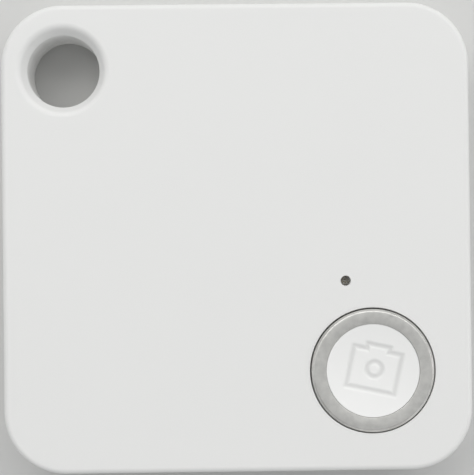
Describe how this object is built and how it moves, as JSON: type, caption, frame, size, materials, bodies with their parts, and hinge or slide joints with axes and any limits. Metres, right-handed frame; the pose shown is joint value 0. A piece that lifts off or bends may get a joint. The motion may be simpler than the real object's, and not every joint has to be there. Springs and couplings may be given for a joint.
{
  "type": "bluetooth tracker tag",
  "caption": "Square matte white Bluetooth tracker tag with a keyring bore through one corner, a round sprung button at the opposite corner and a coin-cell door in the back.",
  "frame": {"origin": "middle of the rear face, on the plane the tag lies on", "axes": "+Z out of the front face with the button, +Y to the edge beside the keyring bore, +X to the right seen from the front; the bore is at -X +Y and the button at +X -Y"},
  "size_m": [0.038, 0.038, 0.0072],
  "materials": {
    "case_white": "fine-grained matte, white ABS",
    "door_white": "fine-grained matte, white ABS",
    "ring_silver": "satin, fine turned",
    "cap_white": "smooth satin white",
    "mesh_grey": "woven acoustic mesh",
    "seal_black": "satin rubber",
    "foam_grey": "soft foam",
    "frame_black": "matte, moulded",
    "screw_steel": "zinc plated",
    "board_green": "solder mask",
    "dome_steel": "polished",
    "film_amber": "thin polyimide film",
    "chip_black": "moulded epoxy",
    "crystal_can": "plated can",
    "trace_gold": "gold-plated copper",
    "capacitor_tan": "ceramic body",
    "resistor_black": "coated",
    "coil_grey": "moulded ferrite",
    "plate_brass": "bare brass",
    "ceramic_white": "silvered ceramic",
    "glue_clear": "cured adhesive",
    "wire_red": "insulated",
    "wire_black": "insulated",
    "cell_steel": "nickel-plated steel",
    "cell_gasket": "polypropylene",
    "cell_core": "pressed powder",
    "contact_gold": "gold-plated spring strip"
  },
  "bodies": {
    "case": {"front_shell": "case_white", "rear_shell": "case_white", "sound_mesh": "mesh_grey", "inner_frame": "frame_black", "frame_screws": "screw_steel", "circuit_board": "board_green", "dome_switch": "dome_steel", "dome_film": "film_amber", "bluetooth_chip": "chip_black", "crystal": "crystal_can", "antenna_trace": "trace_gold", "chip_capacitors": "capacitor_tan", "chip_resistors": "resistor_black", "buzzer_coil": "coil_grey", "buzzer_transistor": "chip_black", "buzzer_plate": "plate_brass", "buzzer_ceramic": "ceramic_white", "buzzer_adhesive": "glue_clear", "buzzer_wire_red": "wire_red", "buzzer_wire_black": "wire_black", "battery_can": "cell_steel", "battery_cap": "cell_steel", "battery_gasket": "cell_gasket", "battery_core": "cell_core", "positive_contact": "contact_gold", "negative_contact": "contact_gold"},
    "button": {"button_ring": "ring_silver", "button_cap": "cap_white"},
    "door": {"battery_door": "door_white", "door_seal": "seal_black", "door_foam": "foam_grey"}
  },
  "joints": [
    {"name": "button_press", "type": "slide", "parent": "case", "child": "button", "axis": [0, 0, 1], "range_m": [-0.0003, 0], "stiffness_N_per_m": 5000, "deforming": ["dome_switch", "dome_film"]},
    {"name": "battery_door_turn", "type": "hinge", "parent": "case", "child": "door", "pos_m": [0, 0, 0.001], "axis": [0, 0, -1], "range_deg": [0, 30]}
  ]
}
